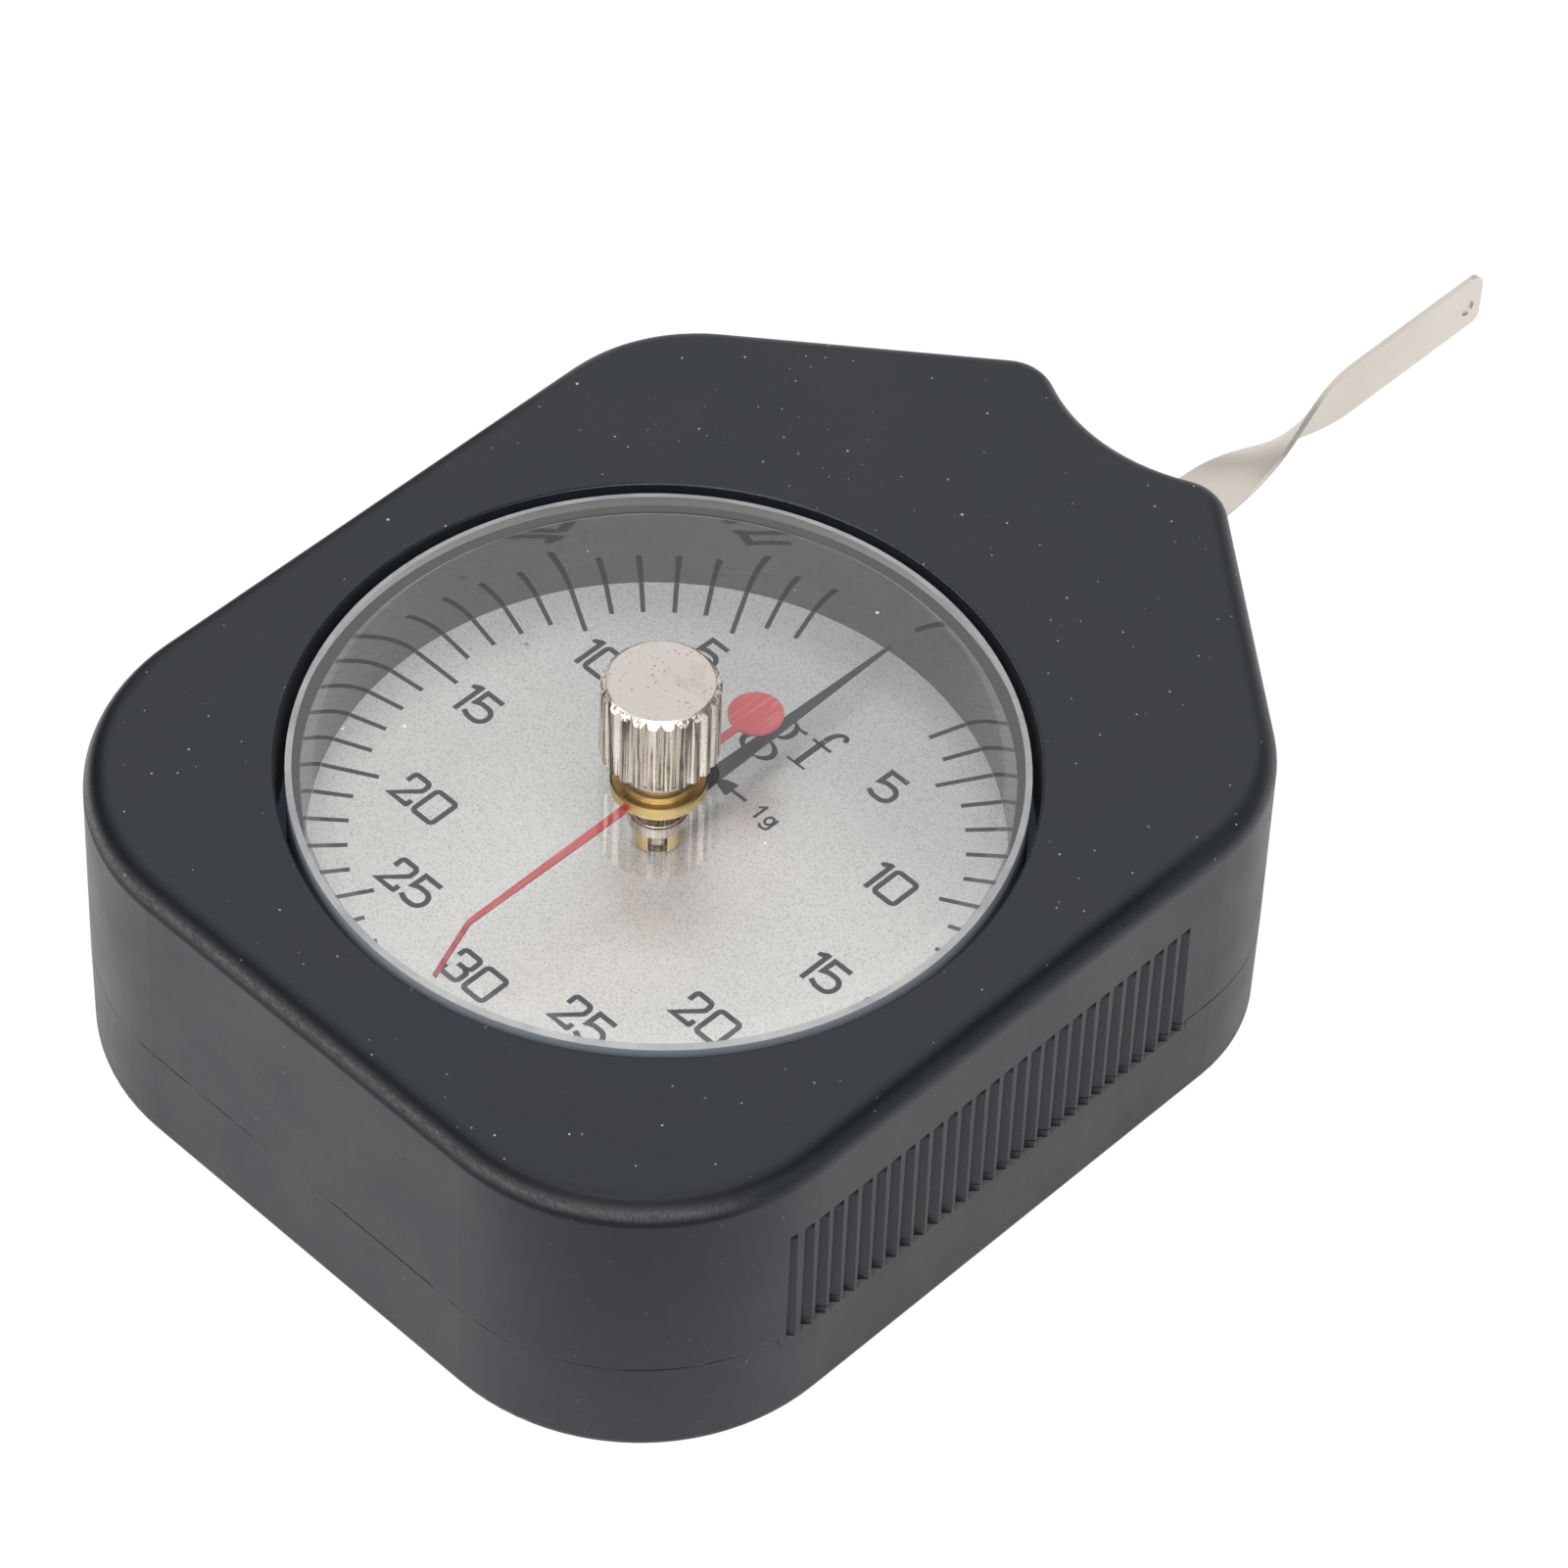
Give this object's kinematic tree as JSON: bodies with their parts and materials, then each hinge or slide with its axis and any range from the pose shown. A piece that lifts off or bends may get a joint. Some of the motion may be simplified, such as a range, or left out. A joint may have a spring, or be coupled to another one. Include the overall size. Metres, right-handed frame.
{
  "type": "dial tension gauge",
  "caption": "Pocket dial tension gauge: flat moulded case, twisted feeler blade at the nose, pointer over a double scale, and a red drag hand with a knurled reset knob.",
  "frame": {"origin": "on the flat back face, straight under the dial axis", "axes": "+X to the right of the dial, +Y to the nose and feeler tip, +Z out of the dial"},
  "size_m": [0.062, 0.1174, 0.0321],
  "materials": {
    "case": "fine matt moulding texture, light grey specks and small scuffs",
    "crystal": "clear polished acrylic with a bevelled rim",
    "dial": "silver fine-grained dial with a dark grey-blue scale",
    "plate": "plain machined",
    "steel": "plain steel",
    "dark_steel": "blackened",
    "brass": "plain machined brass",
    "polished_brass": "turned and polished",
    "bronze": "spring bronze",
    "nickel_silver": "polished nickel silver, faint lengthwise grain",
    "nickel": "warm nickel plating with small pits",
    "black_paint": "satin dark grey paint",
    "red_paint": "satin coral red paint, darker cut edges"
  },
  "bodies": {
    "case": {"front_case": "case", "back_cover": "case", "cover_screws": "dark_steel", "crystal": "crystal", "dial_plate": "dial", "main_plate": "plate", "plate_screws": "steel", "lower_plate": "plate", "plate_pillars": "brass", "pillar_screws": "steel", "lever_bushes": "brass", "arbor_lower_bush": "brass", "arbor_upper_bush": "brass", "measuring_spring": "bronze", "spring_stud": "brass", "hairspring": "bronze", "hairspring_stud": "brass", "stop_pins": "steel"},
    "lever": {"lever_shaft": "steel", "lever_body": "brass", "lever_screws": "steel", "feeler": "nickel_silver", "sector_gear": "brass", "spring_collet": "brass"},
    "pointer_set": {"pointer_arbor": "steel", "pinion": "steel", "hairspring_collet": "brass", "pointer_boss": "polished_brass", "pointer": "black_paint", "pointer_hub": "nickel"},
    "drag_set": {"reset_knob": "nickel", "drag_hub": "polished_brass", "drag_hand": "red_paint", "hand_ring": "dark_steel", "friction_washer": "steel"}
  },
  "joints": [
    {"name": "lever_pivot", "type": "hinge", "parent": "case", "child": "lever", "pos_m": [0, 0.034, 0.01015], "axis": [0, 0, 1], "range_deg": [-15, 15], "stiffness_Nm_per_rad": 0.056},
    {"name": "pointer_turn", "type": "hinge", "parent": "case", "child": "pointer_set", "pos_m": [0, 0, 0.0167], "axis": [0, 0, 1], "range_deg": [-180, 180]},
    {"name": "drag_turn", "type": "hinge", "parent": "case", "child": "drag_set", "pos_m": [0, 0, 0.0244], "axis": [0, 0, 1], "continuous": true}
  ],
  "couplings": [
    {"joint": "pointer_turn", "follows": "lever_pivot", "ratio": -12}
  ]
}
